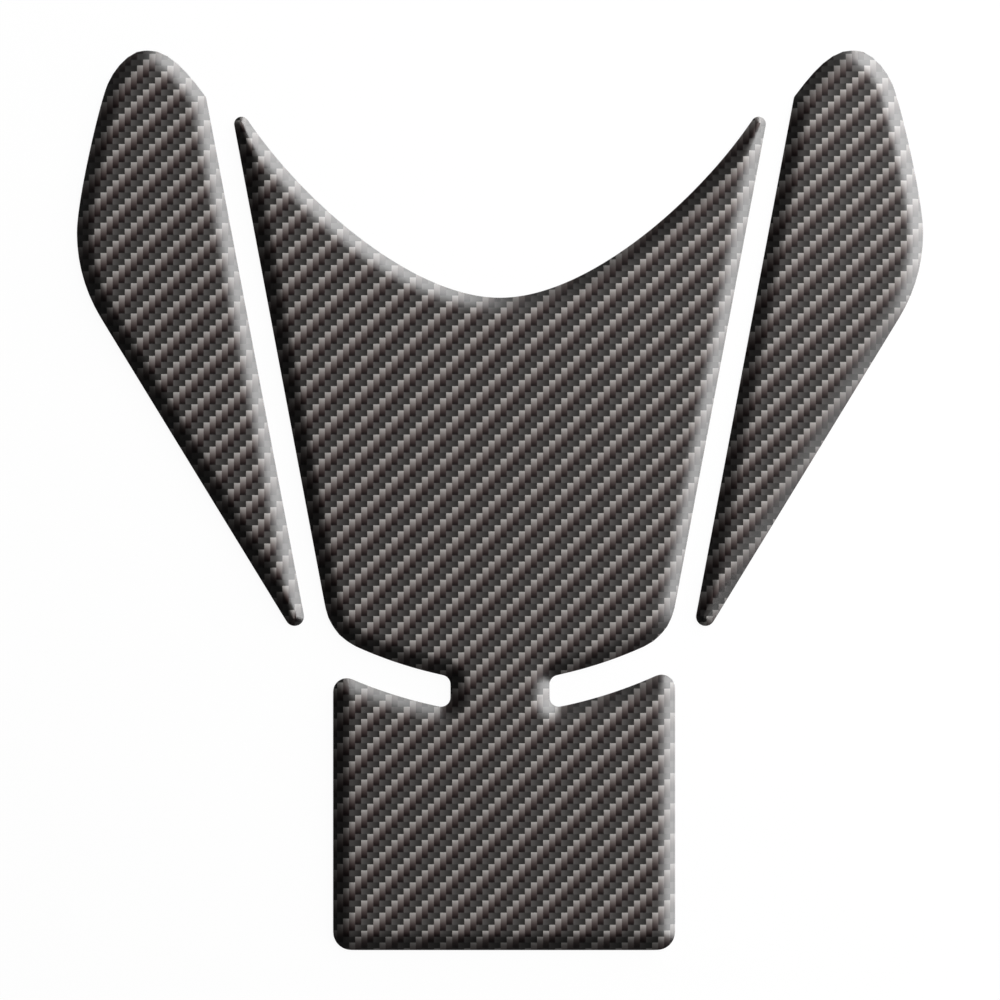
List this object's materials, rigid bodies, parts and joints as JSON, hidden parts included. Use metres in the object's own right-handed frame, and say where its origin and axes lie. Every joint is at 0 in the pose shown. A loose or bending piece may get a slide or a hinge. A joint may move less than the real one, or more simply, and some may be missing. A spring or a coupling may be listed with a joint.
{
  "type": "motorcycle tank pad",
  "caption": "Stick-on motorcycle tank pad set: horned centre pad with slotted waist and tail, mirrored blade-shaped side pads, clear domed gel over a printed carbon weave.",
  "frame": {"origin": "centre of the set's outline in X and Y, on the plane of the adhesive backs", "axes": "+X to the rider's right, +Y up the tank towards the filler cap, +Z away from the tank"},
  "size_m": [0.207, 0.22, 0.0025],
  "materials": {
    "printed_gel": "gloss clear gel over a dark grey twill print"
  },
  "bodies": {
    "root": {"centre_pad": "printed_gel", "left_side_pad": "printed_gel", "right_side_pad": "printed_gel"}
  },
  "joints": []
}
